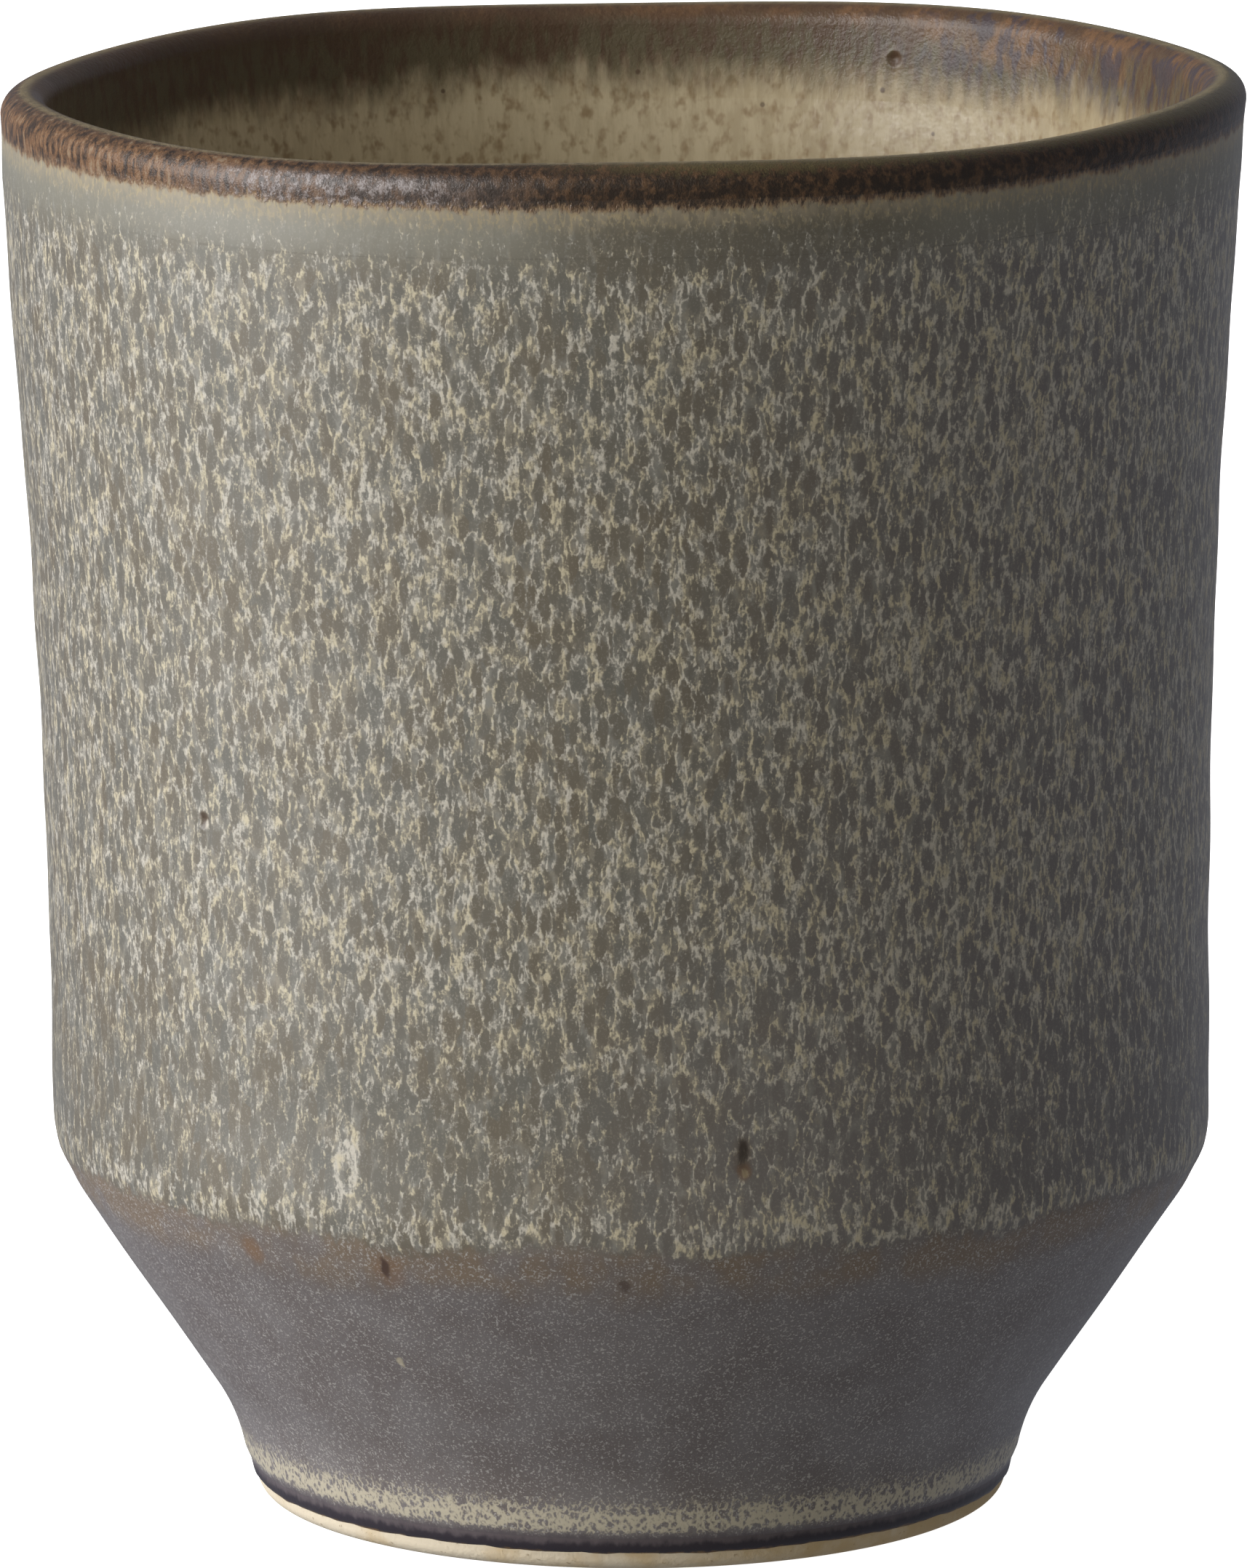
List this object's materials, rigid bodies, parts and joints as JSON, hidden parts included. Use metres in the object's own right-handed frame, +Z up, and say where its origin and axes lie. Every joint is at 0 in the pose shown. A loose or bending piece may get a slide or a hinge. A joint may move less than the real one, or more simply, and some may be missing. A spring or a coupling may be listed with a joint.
{
  "type": "yunomi tea cup",
  "caption": "Tall tea cup without a handle: a stoneware body with a tapered base and turned foot, under a mottled grey glaze with a dark rim and a cream lining.",
  "frame": {"origin": "centre of the foot ring, on the table", "axes": "+Z up along the cup's axis, towards the lip; +Y away from the side that the picture shows"},
  "size_m": [0.08, 0.08, 0.0926],
  "materials": {
    "stoneware_clay": "matte",
    "iron_glaze": "satin",
    "grey_glaze": "satin",
    "mottled_glaze": "matte",
    "liner_glaze": "satin"
  },
  "bodies": {
    "root": {"clay_body": "stoneware_clay", "iron_glaze": "iron_glaze", "grey_glaze": "grey_glaze", "mottled_glaze": "mottled_glaze", "liner_glaze": "liner_glaze"}
  },
  "joints": []
}
